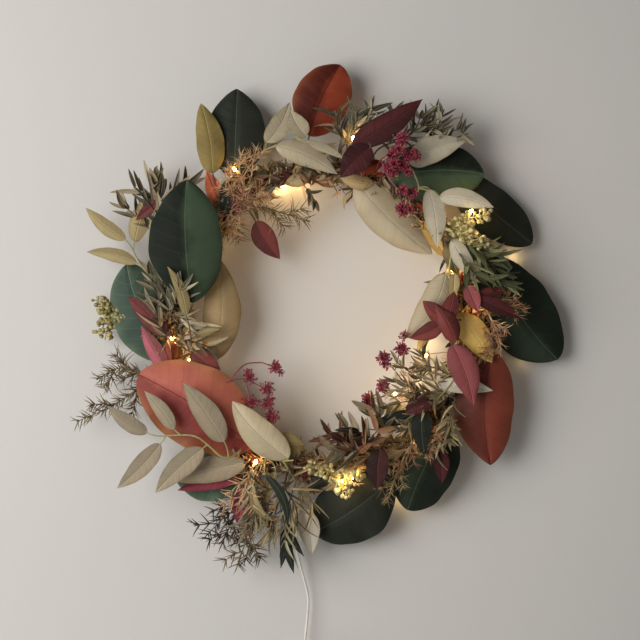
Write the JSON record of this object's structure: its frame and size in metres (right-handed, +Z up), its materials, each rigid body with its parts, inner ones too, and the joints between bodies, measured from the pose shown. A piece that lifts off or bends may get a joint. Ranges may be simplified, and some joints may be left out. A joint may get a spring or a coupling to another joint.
{
  "type": "autumn leaf wreath",
  "caption": "Open ring of twisted vines dressed with broad and narrow leaves, needle sprays, berries and seed heads, with a wound string of micro lights and a thin lead.",
  "frame": {"origin": "point under the top of the vine ring where a wall hook carries it, on the ring's mid plane", "axes": "+X to the right as seen from the room, +Z up, the front of the foliage faces -Y and the wall lies behind on the +Y side"},
  "size_m": [0.4933, 0.0769, 0.6426],
  "materials": {
    "vine": "rough",
    "light_wire": "satin",
    "leaf_cream": "matte",
    "leaf_tan": "matte",
    "leaf_khaki": "matte",
    "leaf_sage": "matte",
    "leaf_burgundy": "satin",
    "leaf_crimson": "satin",
    "leaf_green": "satin",
    "leaf_grey_green": "satin",
    "leaf_deep_green": "satin",
    "leaf_rust": "satin",
    "leaf_red_brown": "satin",
    "leaf_pink_orange": "satin",
    "leaf_olive": "satin",
    "berry": "satin",
    "narrow_leaf_green": "matte",
    "narrow_leaf_olive": "matte",
    "narrow_leaf_brown": "matte",
    "needle_brown": "matte",
    "needle_beige": "matte",
    "needle_dark": "matte",
    "lead": "satin"
  },
  "bodies": {
    "root": {"vine_strand_1": "vine", "vine_strand_2": "vine", "vine_strand_3": "vine", "light_string": "light_wire", "sprig_lower_middle": "leaf_cream", "eucalyptus_top_left": "leaf_cream", "eucalyptus_top_right": "leaf_cream", "eucalyptus_right": "leaf_tan", "eucalyptus_left": "leaf_khaki", "eucalyptus_lower_left": "leaf_sage", "burgundy_leaves_top": "leaf_burgundy", "burgundy_leaf_inner_left": "leaf_burgundy", "burgundy_leaves_left": "leaf_burgundy", "burgundy_leaves_right_star": "leaf_burgundy", "burgundy_leaves_right_high": "leaf_burgundy", "burgundy_leaves_bottom": "leaf_burgundy", "burgundy_leaves_lower_right": "leaf_burgundy", "burgundy_leaves_bottom_left": "leaf_crimson", "green_leaf_front_left": "leaf_green", "green_leaf_behind_left": "leaf_grey_green", "green_leaf_top_left": "leaf_deep_green", "green_leaf_top_right": "leaf_green", "green_leaf_right_high": "leaf_deep_green", "green_leaf_right": "leaf_green", "green_leaf_lower_right": "leaf_green", "green_leaf_bottom": "leaf_deep_green", "green_leaf_bottom_left": "leaf_grey_green", "rust_leaf_left": "leaf_rust", "rust_leaf_top": "leaf_red_brown", "rust_leaf_right": "leaf_rust", "pink_leaf_top_left": "leaf_pink_orange", "olive_leaf_top_left": "leaf_olive", "tan_leaf_left": "leaf_tan", "cream_leaf_top": "leaf_cream", "grey_leaf_bottom_left": "leaf_sage", "berries_left": "berry", "berries_right": "berry", "berries_bottom": "berry", "seed_heads_top": "leaf_crimson", "seed_heads_left": "leaf_crimson", "seed_heads_right": "leaf_crimson", "narrow_sprig_upper_left": "narrow_leaf_green", "narrow_sprig_left": "narrow_leaf_olive", "narrow_sprig_top": "narrow_leaf_green", "narrow_sprig_right": "narrow_leaf_olive", "narrow_sprig_lower_right": "narrow_leaf_olive", "narrow_sprig_bottom_right": "narrow_leaf_brown", "narrow_bunch_bottom": "narrow_leaf_olive", "needle_twig_left": "needle_brown", "needle_twig_upper_left": "needle_beige", "needle_twig_inner_left": "needle_beige", "needle_twigs_bottom": "needle_dark", "needle_twig_right": "needle_beige", "needle_twig_lower_right": "needle_beige", "lead_splice": "lead", "lead_tube": "lead", "lead_coil": "lead", "lead_tail": "lead", "usb_plug": "lead", "coil_tie": "lead"}
  },
  "joints": []
}
